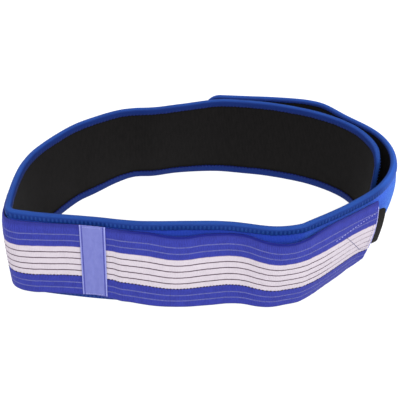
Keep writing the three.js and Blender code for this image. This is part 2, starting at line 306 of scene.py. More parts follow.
# rough holds the least roughness and how much the fuzz adds to it
def endCloth(color, fuzz, height, look):
    least, more = look["rough"]
    bump = height.node("ShaderNodeBump", (), {
        "Height": height, "Strength": 1.0, "Distance": look["relief"] * 0.001})
    shader = height.node("ShaderNodeBsdfPrincipled", (), {
        "Base Color": color, "Roughness": least + more * fuzz, "Normal": bump,
        "Sheen Weight": look["sheen"], "Sheen Roughness": 0.45, "Sheen Tint": look["sheenTint"],
        "Specular IOR Level": look["gloss"]})
    height.node("ShaderNodeOutputMaterial", (), {"Surface": shader})


# brushed loop knit of the outside
shellLook = dict(color=paint(44, 74, 196), dark=paint(32, 52, 172), wale=1.25, course=1.0,
                 rough=(0.82, 0.12), relief=0.30, sheen=0.48, sheenTint=paint(120, 195, 255), gloss=0.15)


def makeShellKnit():
    material, along, up = startCloth("shellKnit")
    loops = wave(along + speckle(along, up, 4.0) * 0.9, shellLook["wale"]) * wave(up, shellLook["course"])
    fuzz = speckle(along, up, 0.7, 1.0, 4.0)
    cloudy = speckle(along, up, 18.0, 1.6)
    height = loops * 0.6 + fuzz * 0.8
    share = step(height * 0.8 + cloudy * 0.5, 0.25, 1.15)
    endCloth(blend(shellLook["dark"], shellLook["color"], share), fuzz, height, shellLook)
    return material


# fine black knit of the inside, with its upright wales
liningLook = dict(color=paint(20, 18, 18), dark=paint(8, 7, 7), wale=1.5, course=1.1,
                  rough=(0.84, 0.1), relief=0.22, sheen=0.03, sheenTint=paint(150, 145, 150), gloss=0.15)


def makeLiningKnit():
    material, along, up = startCloth("liningKnit")
    wales = wave(along + speckle(along, up, 6.0) * 0.6, liningLook["wale"])
    loops = wales * (0.55 + 0.45 * wave(up, liningLook["course"]))
    creases = speckle(along, up, 9.0, 0.35, 3.0)
    fuzz = speckle(along, up, 0.8, 1.0, 3.0)
    height = loops * 0.7 + fuzz * 0.5
    share = step(height * 0.6 + creases * 0.7, 0.3, 1.1)
    endCloth(blend(liningLook["dark"], liningLook["color"], share), fuzz, height, liningLook)
    return material


# stretch binding, folded over both layers; cover stitches bunch it to small ribs near its free edges.
# Each crown has its depth and how proud it stands. From calmFrom on, along the flap, it is pressed flat.
binding = dict(step=0.7, pitch=3.5, across=17.0, outerLeg=5.42, legHigh=5.2, legLow=8.5, legShort=2.2,
               faceOut=3.1, faceIn=-2.95, crownUpper=(1.1, 1.4), crownLower=(0.5, 0.0),
               pucker=0.3, slack=0.1, ragged=0.2, scallop=0.4,
               barIn=2.4, barOut=3.0, innerRow=1.5, innerOut=-2.85,
               calmFrom=alongAt("rightFront") + 25, calmRun=25, calmRibs=0.7, calmPress=0.85)
# the pairs are distances from the tape's edge between which a colour comes in or goes out
# painted light: the crown colours are painted lighter as the lit top, the leg colours are painted shade,
# deepest on the inner legs, and the flap colour paints the outer leg lighter along the flap, where it is
# lit
bindingLook = dict(crown=paint(31, 69, 144), crownDark=paint(22, 51, 118), leg=paint(16, 45, 114),
                   innerLegShade=paint(12, 37, 102), bunch=paint(18, 60, 132), ribShade=paint(6, 32, 100),
                   edgeShade=paint(3, 10, 76), flap=paint(44, 90, 186), flapLitShare=0.6, calm=0.85,
                   crownIn=(5.0, 7.2), ribsIn=(0.8, 1.6), ribsOut=(4.2, 5.4), edgeShadeOut=(0.5, 1.4),
                   rib=0.9, twill=1.3, rough=(0.52, 0.2), relief=0.16,
                   sheen=0.02, sheenTint=paint(130, 170, 255), gloss=0.1)


def makeBindingTape():
    material, along, across = startCloth("bindingTape")
    rib = wave(along, bindingLook["rib"])
    twill = wave(along + across * 1.4, bindingLook["twill"])
    fuzz = speckle(along, across, 0.6, 1.0, 3.0)
    patchy = speckle(along, across, 12.0, 2.5)
    height = rib * 0.5 + twill * 0.4 + fuzz * 0.5
    share = step(height * 0.5 + patchy * 0.6, 0.2, 1.0)
    fromEdge = across.reckon("MINIMUM", across, binding["across"] - across)
    outside = 1 - step(across, 8.0, 9.0)
    bunch = wave(along, binding["pitch"])
    flap = step(along, binding["calmFrom"], binding["calmFrom"] + binding["calmRun"])
    calm = 1 - bindingLook["calm"] * flap
    # painted shade on the legs, deepest on the inner legs, under a painted lighter crown
    body = blend(bindingLook["innerLegShade"], bindingLook["leg"], outside)
    crown = blend(bindingLook["crownDark"], bindingLook["crown"], share)
    body = blend(body, crown, step(fromEdge, *bindingLook["crownIn"]))
    ribbed = step(fromEdge, *bindingLook["ribsIn"]) * (1 - step(fromEdge, *bindingLook["ribsOut"]))
    # painted shade in the hollows between the ribs
    body = blend(body, bindingLook["ribShade"], ribbed * (1 - bunch) * outside * calm * 0.6)
    body = blend(body, bindingLook["bunch"], ribbed * bunch * (0.04 + 0.8 * outside * calm))
    # painted light: the outer leg is painted lighter along the flap
    body = blend(body, bindingLook["flap"], flap * outside * bindingLook["flapLitShare"])
    # painted shade along the free edges, less at each stitch
    edgeShade = (1 - step(fromEdge, *bindingLook["edgeShadeOut"])) * (1 - 0.7 * bunch) * calm
    endCloth(blend(body, bindingLook["edgeShade"], edgeShade), fuzz, height, bindingLook)
    return material


# covered elastic: violet with a white middle band, puckered crosswise between its thread lines
strap = dict(width=78.0, length=257.0, inner=3.45, thick=1.8, split=0.8, cutAlong=10.0, cutUp=8.5,
             bandTop=0.308, bandFoot=0.723, pillow=0.45, pucker=0.14, tuck=0.9, tuckFrom=0.9,
             step=1.9, frontLevels=122, backLevels=30,
             lightLines=(0.140, 0.2255, 0.821, 0.903), darkLines=(0.388, 0.4735, 0.560, 0.645),
             edgeLines=(0.308, 0.723))
# the shadow line colour is painted shadow along the upper edge where the right strap hangs clear; the
# darker edge colour is painted shade along the upper edge and also darkens the lower edge
strapLook = dict(violet=paint(48, 56, 151), violetDark=paint(34, 39, 122), white=paint(195, 186, 195),
                 whiteDark=paint(175, 166, 176), tan=paint(91, 96, 160), umber=paint(78, 62, 76),
                 brown=paint(132, 114, 138), gapShadow=paint(9, 20, 110), edgeDark=paint(30, 33, 108),
                 shadeFrom=(8.0, 45.0), shadeTo=(175.0, 215.0), fadeFrom=180.0, fadeTo=235.0, fade=0.65,
                 rib=1.35, rough=(0.7, 0.2), relief=0.14,
                 sheen=0.08, sheenTint=paint(190, 190, 255), gloss=0.2)


# heights on the strap are counted from its own lower edge
def strapUp(share):
    return strap["width"] * (1 - share)


def lineMask(up, lines, half):
    masks = [1 - step(up.reckon("ABSOLUTE", up - strapUp(line)), half * 0.5, half * 1.4)
             for line in lines]
    return sum(masks[1:], masks[0])


def makeStrapElastic():
    material, along, up = startCloth("strapElastic")
    drift = speckle(along, up, 3.2, 0.7, 3.0)
    rib = wave(along + drift * 2.2, strapLook["rib"])
    fuzz = speckle(along, up, 0.55, 1.0, 3.0)
    patchy = speckle(along, up, 7.0, 1.0, 3.0)
    height = rib * 0.75 + fuzz * 0.45
    ragged = up + (fuzz - 0.5) * 0.5
    foot, top = strapUp(strap["bandFoot"]), strapUp(strap["bandTop"])
    white = step(ragged, foot - 0.25, foot + 0.25) * (1 - step(ragged, top - 0.25, top + 0.25))
    share = step(height * 0.55 + patchy * 0.6, 0.15, 0.95)
    violet = blend(strapLook["violetDark"], strapLook["violet"], share)
    violet = blend(violet, strapLook["tan"], lineMask(ragged, strap["lightLines"], 0.6) * 0.9)
    # painted shade: the upper edge is darker, and a painted shadow line runs along it where the right strap
    # hangs clear of the belt
    edge = strap["width"]
    violet = blend(violet, strapLook["edgeDark"], 0.55 * step(up, edge - 5.0, edge - 0.8))
    shaded = step(along, *strapLook["shadeFrom"]) * (1 - step(along, *strapLook["shadeTo"]))
    violet = blend(violet, strapLook["gapShadow"], shaded * step(up, edge - 2.1, edge - 1.3))
    # the lower edge is darker as well
    violet = blend(strapLook["edgeDark"], violet, 0.35 + 0.65 * step(up, 0.7, 1.6))
    pale = blend(strapLook["whiteDark"], strapLook["white"], step(height * 0.5 + patchy * 0.7, 0.0, 0.8))
    # the dark lines fade towards the strap's end
    far = along.reckon("ABSOLUTE", along)
    worn = 1 - strapLook["fade"] * step(far, strapLook["fadeFrom"], strapLook["fadeTo"])
    pale = blend(pale, strapLook["umber"], lineMask(ragged, strap["darkLines"], 0.6) * worn * 0.95)
    pale = blend(pale, strapLook["brown"], lineMask(ragged, strap["edgeLines"], 0.45) * 0.8)
    endCloth(blend(violet, pale, white), fuzz, height, strapLook)
    return material


# woven tape over the join of the two straps, its selvedges a little lighter
tape = dict(width=22.0, low=7.6, high=85.2, inner=5.55, thick=1.0, seamIn=1.9, seamPitch=2.3,
            endIn=1.6, endPitch=2.0, seamOut=-0.08, endOut=0.12, columns=31, levels=60)
tapeLook = dict(color=paint(112, 117, 182), dark=paint(96, 101, 170), edge=paint(140, 144, 206),
                seam=paint(62, 64, 150), rib=1.1, pick=0.7, rough=(0.6, 0.2), relief=0.16,
                sheen=0.08, sheenTint=paint(200, 205, 255), gloss=0.25)


def makeTapeWeb():
    material, along, up = startCloth("tapeWeb")
    rib = wave(along, tapeLook["rib"])
    pick = wave(up + rib * 0.35, tapeLook["pick"])
    fuzz = speckle(along, up, 0.6, 1.0, 3.0)
    patchy = speckle(along, up, 8.0, 0.5, 2.0)
    height = rib * 0.6 + pick * 0.3 + fuzz * 0.3
    share = step(height * 0.5 + patchy * 0.6, 0.15, 0.95)
    fromEdge = tape["width"] / 2 - along.reckon("ABSOLUTE", along)
    body = blend(tapeLook["dark"], tapeLook["color"], share)
    body = blend(tapeLook["edge"], body, step(fromEdge, 0.5, 1.1))
    seam = 1 - step(fromEdge.reckon("ABSOLUTE", fromEdge - tape["seamIn"]), 0.2, 0.7)
    endCloth(blend(body, tapeLook["seam"], seam * 0.75), fuzz, height, tapeLook)
    return material


# black hook web: rows of small loops with a tight woven edge
hookLook = dict(color=paint(20, 17, 16), dark=paint(8, 7, 7), pitch=1.5, rough=(0.7, 0.15), relief=0.3,
                sheen=0.02, sheenTint=paint(170, 160, 150), gloss=0.2)


def makeHookWeb():
    material, along, up = startCloth("hookWeb")
    loops = wave(along, hookLook["pitch"]) * wave(up, hookLook["pitch"])
    fuzz = speckle(along, up, 0.7, 1.0, 3.0)
    height = loops * 0.8 + fuzz * 0.6
    endCloth(blend(hookLook["dark"], hookLook["color"], step(height, 0.2, 1.1)), fuzz, height, hookLook)
    return material


# sewing thread in several colours, twisted and a little uneven
threadLook = dict(twist=1600.0, shade=300.0, rough=(0.6, 0.2), relief=0.12,
                  sheen=0.03, sheenTint=(1, 1, 1, 1), gloss=0.2)


def makeThread(name, color, dark):
    material = bpy.data.materials.new(name)
    material.use_nodes = True
    material.node_tree.nodes.clear()
    start = Wire(material.node_tree)
    spot = start.node("ShaderNodeTexCoord", output=3)
    twist = start.node("ShaderNodeTexNoise", (), {
        "Vector": spot, "Scale": threadLook["twist"], "Detail": 2.0})
    shade = start.node("ShaderNodeTexNoise", (), {
        "Vector": spot, "Scale": threadLook["shade"], "Detail": 1.0})
    endCloth(blend(dark, color, step(twist * 0.5 + shade * 0.5, 0.3, 0.7)), twist, twist, threadLook)
    return material


shellKnit = makeShellKnit()
liningKnit = makeLiningKnit()
bindingTape = makeBindingTape()
strapElastic = makeStrapElastic()
tapeWeb = makeTapeWeb()
hookWeb = makeHookWeb()
navyThread = makeThread("navyThread", paint(18, 40, 108), paint(8, 20, 70))
blueThread = makeThread("blueThread", paint(26, 62, 134), paint(18, 48, 114))
taupeThread = makeThread("taupeThread", paint(106, 108, 160), paint(69, 71, 126))
umberThread = makeThread("umberThread", paint(90, 70, 84), paint(58, 44, 56))
violetThread = makeThread("violetThread", paint(58, 60, 158), paint(38, 40, 128))
duskThread = makeThread("duskThread", paint(42, 36, 62), paint(24, 21, 46))
fadedThread = makeThread("fadedThread", paint(158, 146, 154), paint(122, 110, 122))
paleThread = makeThread("paleThread", paint(170, 170, 216), paint(136, 136, 194))
print("cloths and threads made")

# the two layers of the belt, pressed flat under the binding and a little uneven between
layers = dict(fold=1.3, step=2.6, levels=34, shell=(0.15, 1.85), lining=(-1.65, -0.15), ripple=0.28,
              slim=0.1)


def makeLayer(name, inner, outer, seed, material):
    radius = belt["corner"] - layers["fold"]
    first, last = layers["fold"], beltLength - layers["fold"]
    turn = radius * (1 - np.cos(np.linspace(0, math.pi / 2, 9)))
    count = int((last - first - 2 * radius) / layers["step"])
    middle = np.linspace(first + radius, last - radius, count)[1:-1]
    along = np.concatenate([first + turn, middle, (last - turn)[::-1]])
    fromEnd = np.minimum(np.minimum(along - first, last - along), radius)
    drop = layers["fold"] + radius - np.sqrt(np.maximum(0, radius ** 2 - (radius - fromEnd) ** 2))
    k = np.linspace(0, 1, layers["levels"])
    k = k - 0.5 * np.sin(2 * math.pi * k) / (2 * math.pi)   # closer together at both edges
    up = drop[:, None] + k[None, :] * (belt["height"] - 2 * drop[:, None])
    run = np.broadcast_to(along[:, None], up.shape)
    free = np.sin(math.pi * k)[None, :] ** 0.7
    sway = uneven(run + 0.25 * up, (47, 29, 83), seed)
    roll = uneven(up * 1.3 - 0.15 * run, (31, 57), seed + 1)
    ripple = layers["ripple"] * free * (0.6 * sway + 0.4 * roll)
    faceOut = wrap(run, up, outer + ripple - layers["slim"])
    faceIn = wrap(run, up, inner + ripple + layers["slim"])
    spots = np.concatenate([faceIn, faceOut[:, ::-1]], axis=1)
    flatAlong = np.concatenate([run, run], axis=1)
    flatUp = np.concatenate([up, up[:, ::-1]], axis=1)
    return skinOver(name, spots, np.stack([flatAlong, flatUp], axis=-1), material)


shellPiece = makeLayer("shellLayer", *layers["shell"], 1.0, shellKnit)
liningPiece = makeLayer("liningLayer", *layers["lining"], 2.0, liningKnit)
finishPiece(shellPiece, "shell_knit", "belt_shell")
finishPiece(liningPiece, "lining_knit", "belt_lining")
layerFlat = (0.001 * (belt["height"] - 2 * layers["fold"]), 0.001 * (beltLength - 2 * layers["fold"]))

# the fold's outline, a row for each point: distance in from the edge, out from the seam
outerLegRows = [(5.38, 2.36), (5.42, 2.72), (5.28, 3.00), (4.85, 3.10), (4.20, 3.12), (3.60, 3.05),
                (3.00, 3.10), (2.00, 3.13)]
innerLegRows = [(2.00, -2.97), (3.00, -2.96), (3.60, -2.90), (4.20, -2.93), (4.70, -2.92), (5.05, -2.80),
                (5.20, -2.50), (5.16, -2.20), (4.90, -1.97), (3.50, -1.95), (1.60, -1.90)]
lapRows = [(1.05, -1.20), (1.00, 0.10), (1.05, 1.30), (1.60, 2.10), (3.50, 2.15), (5.15, 2.17)]


def foldOutline(upper):
    deep, proud = binding["crownUpper" if upper else "crownLower"]
    middle = (binding["faceOut"] + binding["faceIn"]) / 2
    half = (binding["faceOut"] - binding["faceIn"]) / 2
    turn = np.linspace(0, math.pi, 17)
    crown = np.stack([deep - (deep + proud) * np.sin(turn), middle + half * np.cos(turn)], axis=1)
    return np.vstack([outerLegRows, crown, innerLegRows, lapRows]).T


# the belt's edge from mid height of one end to the other: along, up, and the way in from the edge
def edgeRun(upper, stepLength):
    corner, half = belt["corner"], belt["height"] / 2 - 0.1
    rise, bend, straight = half - corner, corner * math.pi / 2, beltLength - 2 * corner
    whole = 2 * rise + 2 * bend + straight
    far = np.linspace(0, whole, int(whole / stepLength) + 1)
    near = np.minimum(far, whole - far)
    angle = np.clip((near - rise) / corner, 0, math.pi / 2)
    along = corner * (1 - np.cos(angle)) + np.maximum(near - rise - bend, 0)
    up = np.where(near < rise, half - near, corner * (1 - np.sin(angle)))
    back = far > whole / 2
    along = np.where(back, beltLength - along, along)
    inAlong = np.where(back, -np.cos(angle), np.cos(angle))
    inUp = np.sin(angle)
    return far, along, up, inAlong, inUp, upper


def onEdge(run, into, out):
    along, up, inAlong, inUp, upper = run[1:]
    along = along[:, None] + inAlong[:, None] * into
    up = up[:, None] + inUp[:, None] * into
    return wrap(along, belt["height"] - up if upper else up, out)


# the inner leg's own height: tall along the lower edge, short round the ends and along the flap
def innerLegs(run):
    along, inUp, upper = run[1], run[4], run[5]
    t = np.clip((along - alongAt("rightFront")) / (alongAt("rightFar") - alongAt("rightFront")), 0, 1)
    high = binding["legHigh"] + (binding["legShort"] - binding["legHigh"]) * t * t * (3 - 2 * t)
    leg = high if upper else binding["legLow"]
    return (binding["legShort"] + (leg - binding["legShort"]) * inUp)[:, None]


def makeBinding(name, upper, seed):
    run = edgeRun(upper, binding["step"])
    far = run[0][:, None]
    into, out = foldOutline(upper)
    contour = np.concatenate([[0], np.cumsum(np.hypot(np.diff(into), np.diff(out)))])
    tip = int(np.argmax(np.where(out < -1.96, into, 0)))
    across = contour * binding["across"] / contour[tip]
    # the inner leg is drawn to its own height; limits on out pick rows of the fold's outline
    leg = innerLegs(run)
    reach = np.clip((into - 0.9) / (into[tip] - 0.9), 0, None) * (out < -1.8)
    into = into[None, :] + reach[None, :] * (leg - into[tip])
    edgeGap = np.where(out > 0, binding["outerLeg"], leg) - into
    # ribs beside the free edges, weaker inside and along the flap
    bunch = 0.5 + 0.5 * np.sin(2 * math.pi * far / binding["pitch"])
    outside = np.sign(out) * (np.abs(out) > 2.6)
    ribs = np.clip(edgeGap, 0, 1) * np.clip((4.8 - edgeGap) / 1.5, 0, 1)
    press = binding["pucker"] * np.where(outside < 0, 0.35 * outside, outside) * ribs * (bunch - 0.75)
    flap = np.clip((far - binding["calmFrom"]) / binding["calmRun"], 0, 1)
    press = press * (1 - binding["calmRibs"] * flap)
    press = press - binding["calmPress"] * flap * np.clip((into - 3.6) / 1.8, 0, 1) * (out > 2.3)
    # the crown is a little slack, and the free edges are scalloped between the stitches
    slack = binding["slack"] * uneven(far, (23, 41, 67), seed) * np.clip(1 - into / 5, 0, 1)
    free = np.clip(1 - edgeGap / 2.0, 0, 1) * (np.abs(out) > 1.9)
    ragged = binding["ragged"] * uneven(far, (13, 31), seed + 2)
    scallop = (ragged - binding["scallop"] * (1 - bunch)) * free
    spots = onEdge(run, into + np.maximum(slack, 0) + scallop, out[None, :] + press)
    flat = np.stack(np.broadcast_arrays(far, across[None, :]), axis=-1)
    return skinOver(name, spots, flat, bindingTape), run[0][-1]


for name, upper, node, flatWidth, seed in (
        ("upperBinding", True, "binding_upper", 0.0155, 3.0),
        ("lowerBinding", False, "binding_lower", 0.0185, 5.0)):
    piece, edgeLength = makeBinding(name, upper, seed)
    finishPiece(piece, "binding_tape", node)
    edgeLength * 0.001

# each strap from the join tape: height of its upper edge, how far it hangs clear of the belt at its
# upper and at its lower edge, and how far it bows out between them
rightHang = [
    (0, 83.4, 0, 0, 0), (16, 82.8, 0, 1.8, -1), (23, 82.7, 0, 3.9, -0.5),
    (31, 82.6, 0, 4.7, -0.4), (40, 82.4, 0, 6.4, -0.4), (48, 82.1, 0.7, 7.7, -0.2),
    (56, 81.9, 2.9, 8.6, 0.2), (64, 81.8, 4.8, 9, 0.7), (73, 81.7, 5.6, 9.1, 0.6),
    (81, 81.6, 4.8, 8.9, 0.2), (90, 81.7, 2.6, 8.2, 0), (103, 81.7, 1.3, 6.7, -0.7),
    (117, 81.7, 0.1, 4.2, -1), (130, 81.7, 0.7, 3, -0.8), (143, 81.6, 5.2, 4.2, -0.5),
    (154, 81.5, 8.4, 4.3, 0), (165, 81.5, 8.6, 3.2, 0), (177, 81.5, 4.8, 3.6, 1.4),
    (192, 81.6, 2.3, 2.8, 3), (210, 81.7, 0.8, 1.1, 3), (230, 81.8, 1, 0.4, 1.7),
    (246, 81.9, 1.2, 0.5, 1.6), (257, 82, 1.3, 4.4, 1.5)]
leftHang = [
    (0, 84, 0, 0, 0), (20, 83.8, 0, 1.4, -0.9), (29, 83.4, 0, 1.4, -0.5),
    (37, 83, 0, 1.9, 0), (46, 82.8, 0.4, 2.6, 0.2), (54, 82.6, 1.1, 3.8, 0.3),
    (63, 82.5, 2, 3.2, 0.2), (72, 82.4, 1, 1, 0.4), (90, 82.2, 0.1, 0.6, 0.6),
    (120, 82, 0.1, 0.4, 0.3), (230, 81.8, 0.6, 0.2, 1), (246, 81.9, 1.2, 0.5, 1.6),
    (257, 82, 1.3, 4.4, 1.5)]


# from a place on the strap (distance from the join tape, height from its lower edge) to the loop
def onStrap(side, far, height, out):
    hang = rightHang if side > 0 else leftHang
    up = tableAt(hang, 1, far) - strap["width"] + height
    t = height / strap["width"]
    clear = clearOf(hang, 2, 3, far, up) + tableAt(hang, 4, far) * 4 * t * (1 - t)
    if side < 0:
        # the left strap's upper edge is drawn in to the binding round the corner
        drawn = np.clip((t - strap["tuckFrom"]) / (1 - strap["tuckFrom"]), 0, 1)
        clear = clear * (1 - strap["tuck"] * drawn)
    return wrap(tapeAlong + side * far, up, strap["inner"] + clear + out)


def strapFace(side, far, height, above):
    return onStrap(side, far, height, strap["thick"] + above)


def lineHollow(up):
    lines = [strapUp(f) for f in strap["lightLines"] + strap["darkLines"] + strap["edgeLines"]]
    return sum(np.exp(-((up - line) / 0.55) ** 2) for line in lines)


def makeStrap(name, side, seed):
    wide, long = strap["width"], strap["length"]
    far = np.concatenate([np.arange(strap["split"] / 2, long - 12, strap["step"]),
                          np.linspace(long - 11.5, long - 0.6, 12), [long - 0.25, long]])
    thin = np.interp(long - far, [0, 0.25, 0.6], [0.35, 0.8, 1.0])[:, None]
    floor = (strap["cutUp"] * np.maximum(0, far - long + strap["cutAlong"]) / strap["cutAlong"])[:, None]
    front = np.linspace(wide - 0.5, 0.5, strap["frontLevels"])
    back = np.linspace(0.5, wide - 0.5, strap["backLevels"])
    height = np.concatenate([[wide - 0.15, wide - 0.02], front, [0.02, 0.15], back])
    face = np.concatenate([[0.35, 0.75], np.ones(len(front)), [0.78, 0.55], np.zeros(len(back))])[None, :]
    height = np.maximum(height[None, :], floor + 0.02 * (np.arange(len(height)) % 2)[None, :])
    run = np.broadcast_to(far[:, None], height.shape)
    inside = np.clip((wide - height) / 1.5, 0, 1) * np.clip(height / 1.5, 0, 1)
    pillow = strap["pillow"] * (0.5 - lineHollow(height)) * inside
    pucker = strap["pucker"] * uneven(run + 0.6 * np.sin(height * 0.9), (3.9, 6.1, 9.7), seed)
    out = strap["thick"] * (0.5 + (face - 0.5) * thin) + (face > 0.9) * (pillow * 0.6 + pucker - 0.1)
    flat = np.stack([side * run, height], axis=-1)
    return skinOver(name, onStrap(side, run, height, out), flat, strapElastic)


for name, side, node in (("rightStrap", 1, "strap_right"), ("leftStrap", -1, "strap_left")):
    piece = makeStrap(name, side, 4.0 + side)
    finishPiece(piece, "strap_elastic", node)


# the join tape lies over both straps
def tapeOut(offset, up):
    far = np.abs(offset)
    left, right = (clearOf(hang, 2, 3, far, up) for hang in (leftHang, rightHang))
    return tape["inner"] + np.where(offset < 0, left, right)


def makeTape():
    half = tape["width"] / 2
    middle = np.linspace(-half + 1, half - 1, tape["columns"])
    offset = np.concatenate([[-half, -half + 0.2, -half + 0.5], middle, [half - 0.5, half - 0.2, half]])
    thin = np.interp(half - np.abs(offset), [0, 0.2, 0.5, 1.0], [0.4, 0.75, 0.95, 1.0])[:, None]
    front = np.linspace(tape["high"] - 0.4, tape["low"] + 0.4, tape["levels"])
    back = front[::-1]
    up = np.concatenate([[tape["high"] - 0.1, tape["high"]], front,
                         [tape["low"], tape["low"] + 0.1], back])
    face = np.concatenate([[0.3, 0.7], np.ones(len(front)), [0.7, 0.3], np.zeros(len(back))])[None, :]
    run, up = np.broadcast_arrays(offset[:, None], up[None, :])
    seam = np.exp(-((np.abs(run) - half + tape["seamIn"]) / 0.6) ** 2)
    crown = 0.18 * (1 - (run / half) ** 2) - 0.25 * seam + 0.1 * uneven(up, (17, 29), 2.0)
    out = tapeOut(run, up) + tape["thick"] * (0.5 + (face - 0.5) * thin) + (face > 0.9) * crown
    return skinOver("joinTape", wrap(tapeAlong + run, up, out), np.stack([run, up], axis=-1), tapeWeb)


tapePiece = makeTape()
finishPiece(tapePiece, "join_tape_web", "join_tape")

# the hook tabs under the straps' free ends, their tips curling away
tab = dict(low=29.0, high=70.0, covered=34.0, beyond=11.0, corner=3.0, inner=2.15, thick=1.0, rim=0.12,
           columns=30, levels=26)
# distance from the covered end, how far the upper and the lower edge are clear of the belt
tabHang = [(0, 0, 0), (12, 0, 0.6), (26, 0, 3.3), (34, 0.2, 6.2), (39, 1.4, 8.2), (45, 3.3, 9.6)]


def makeTab(name, side):
    whole, corner = tab["covered"] + tab["beyond"], tab["corner"]
    tip = whole - corner * (1 - np.cos(np.linspace(math.pi / 2, 0, 9)))
    far = np.concatenate([np.linspace(0, whole - corner - 0.8, tab["columns"]), tip])
    fromTip = np.minimum(whole - far, corner)
    drop = (corner - np.sqrt(np.maximum(0, corner ** 2 - (corner - fromTip) ** 2)))[:, None]
    k = np.linspace(0.008, 0.992, tab["levels"])
    share = np.concatenate([[0.001], k, [0.999], k[::-1]])[None, :]
    face = np.concatenate([[0.5], np.zeros(len(k)), [0.5], np.ones(len(k))])[None, :]
    low, high = tab["low"] + drop, tab["high"] - drop
    up = low + share * (high - low)
    run = np.broadcast_to(far[:, None], up.shape)
    thin = np.interp(whole - far, [0, 0.3, 0.8], [0.4, 0.8, 1.0])[:, None]
    edge = np.exp(-(np.minimum(up - low, high - up) / 1.4) ** 2)
    out = (tab["inner"] + clearOf(tabHang, 1, 2, run, up) + tab["thick"] * (0.5 + (face - 0.5) * thin)
           + (face > 0.9) * tab["rim"] * edge)
    along = tapeAlong + side * (strap["length"] - tab["covered"] + run)
    return skinOver(name, wrap(along, up, out), np.stack([run, up], axis=-1), hookWeb)


for name, side, node in (("rightHookTab", 1, "hook_tab_right"), ("leftHookTab", -1, "hook_tab_left")):
    piece = makeTab(name, side)
    finishPiece(piece, "hook_web", node)

# the hook patch that holds the flap, hidden between flap and inner end
patch = dict(low=22.0, high=66.0, fromEnd=16.0, length=46.0, outer=-1.95, thick=2.8, seamIn=2,
             seamPitch=2.5, steps=24)


def makePatch():
    last = beltLength - patch["fromEnd"]
    first = last - patch["length"]
    along = np.concatenate([[first], np.linspace(first + 0.8, last - 0.8, patch["steps"]), [last]])
    thin = np.interp(np.minimum(along - first, last - along), [0, 0.8], [0.5, 1.0])[:, None]
    rising = np.linspace(patch["low"] + 0.5, patch["high"] - 0.5, patch["steps"])
    up = np.concatenate([rising, [patch["high"]], rising[::-1], [patch["low"]]])
    face = np.concatenate([np.zeros(len(rising)), [0.5], np.ones(len(rising)), [0.5]])[None, :]
    run, up = np.broadcast_arrays(along[:, None], up[None, :])
    out = patch["outer"] - patch["thick"] * (1 - face) * thin
    return skinOver("closurePatch", wrap(run, up, out), np.stack([run, up], axis=-1), hookWeb)


patchPiece = makePatch()
finishPiece(patchPiece, "hook_web", "closure_hook")
print("cloth pieces made")


# sewn rows: one point a stitch, each stitch a small bead laid along its row
def makeSewingTree():
    tree = bpy.data.node_groups.new("sewnRows", "GeometryNodeTree")
    sockets = {}
    for name, kind in (("Geometry", "NodeSocketGeometry"), ("Stitch Length", "NodeSocketFloat"),
                       ("Stitch Width", "NodeSocketFloat"), ("Stitch Height", "NodeSocketFloat"),
                       ("Waver", "NodeSocketFloat"), ("Seed", "NodeSocketInt"),
                       ("Thread", "NodeSocketMaterial")):
        sockets[name] = tree.interface.new_socket(name=name, in_out="INPUT", socket_type=kind).identifier
    tree.interface.new_socket(name="Geometry", in_out="OUTPUT", socket_type="NodeSocketGeometry")

    def add(kind, settings=(), **links):
        made = tree.nodes.new(kind)
        for key, value in dict(settings).items():
            setattr(made, key, value)
        for key, value in links.items():
            target = made.inputs[key.replace("_", " ")]
            if isinstance(value, bpy.types.NodeSocket):
                tree.links.new(value, target)
            else:
                target.default_value = value
        return made

    given = add("NodeGroupInput").outputs
    row = add("GeometryNodeMeshToCurve", Mesh=given["Geometry"])
    spots = add("GeometryNodeCurveToPoints", {"mode": "EVALUATED"}, Curve=row.outputs["Curve"])
    bead = add("GeometryNodeMeshUVSphere", Segments=7, Rings=5, Radius=0.5)
    size = add("ShaderNodeCombineXYZ", X=given["Stitch Length"], Y=given["Stitch Width"],
               Z=given["Stitch Height"])
    aim = add("FunctionNodeAlignRotationToVector", {"axis": "X"}, Vector=spots.outputs["Tangent"])
    least = add("ShaderNodeMath", {"operation": "MULTIPLY"})
    tree.links.new(given["Waver"], least.inputs[0])
    least.inputs[1].default_value = -1.0
    chance = add("FunctionNodeRandomValue", {"data_type": "FLOAT"}, Seed=given["Seed"])
    tree.links.new(least.outputs[0], chance.inputs[2])
    tree.links.new(given["Waver"], chance.inputs[3])
    turn = add("FunctionNodeAxisAngleToRotation", Axis=(0.0, 0.0, 1.0), Angle=chance.outputs[1])
    aimed = add("FunctionNodeRotateRotation", {"rotation_space": "LOCAL"},
                Rotation=aim.outputs["Rotation"], Rotate_By=turn.outputs["Rotation"])
    sewn = add("GeometryNodeInstanceOnPoints", Points=spots.outputs["Points"],
               Instance=bead.outputs["Mesh"], Rotation=aimed.outputs["Rotation"], Scale=size.outputs[0])
    real = add("GeometryNodeRealizeInstances", Geometry=sewn.outputs["Instances"])
    smooth = add("GeometryNodeSetShadeSmooth", Geometry=real.outputs["Geometry"])
    colored = add("GeometryNodeSetMaterial", Geometry=smooth.outputs["Geometry"], Material=given["Thread"])
    leave = add("NodeGroupOutput")
    tree.links.new(colored.outputs["Geometry"], leave.inputs["Geometry"])
    return tree, sockets


sewingTree, sewingSockets = makeSewingTree()
sewingSeed = 7
# each kind of stitch: its length, width and height in millimetres, and how far it turns aside in radians
stitches = dict(
    bindingBar=(1.6, 0.5, 3.6, 0.05), bindingInner=(1.6, 0.5, 1.1, 0.05),
    line=(2.0, 0.5, 0.8, 0.08), bandEdge=(1.9, 0.9, 1.6, 0.1),
    tapeSide=(2.1, 0.7, 0.55, 0.08), tapeEnd=(1.6, 0.55, 0.45, 0.08),
    edging=(1.7, 0.9, 1.1, 0.08), hold=(1.5, 0.5, 0.6, 0.08), slant=(2.1, 0.5, 0.6, 0.08),
    top=(1.9, 0.6, 0.7, 0.08), box=(2.1, 0.6, 0.5, 0.08))


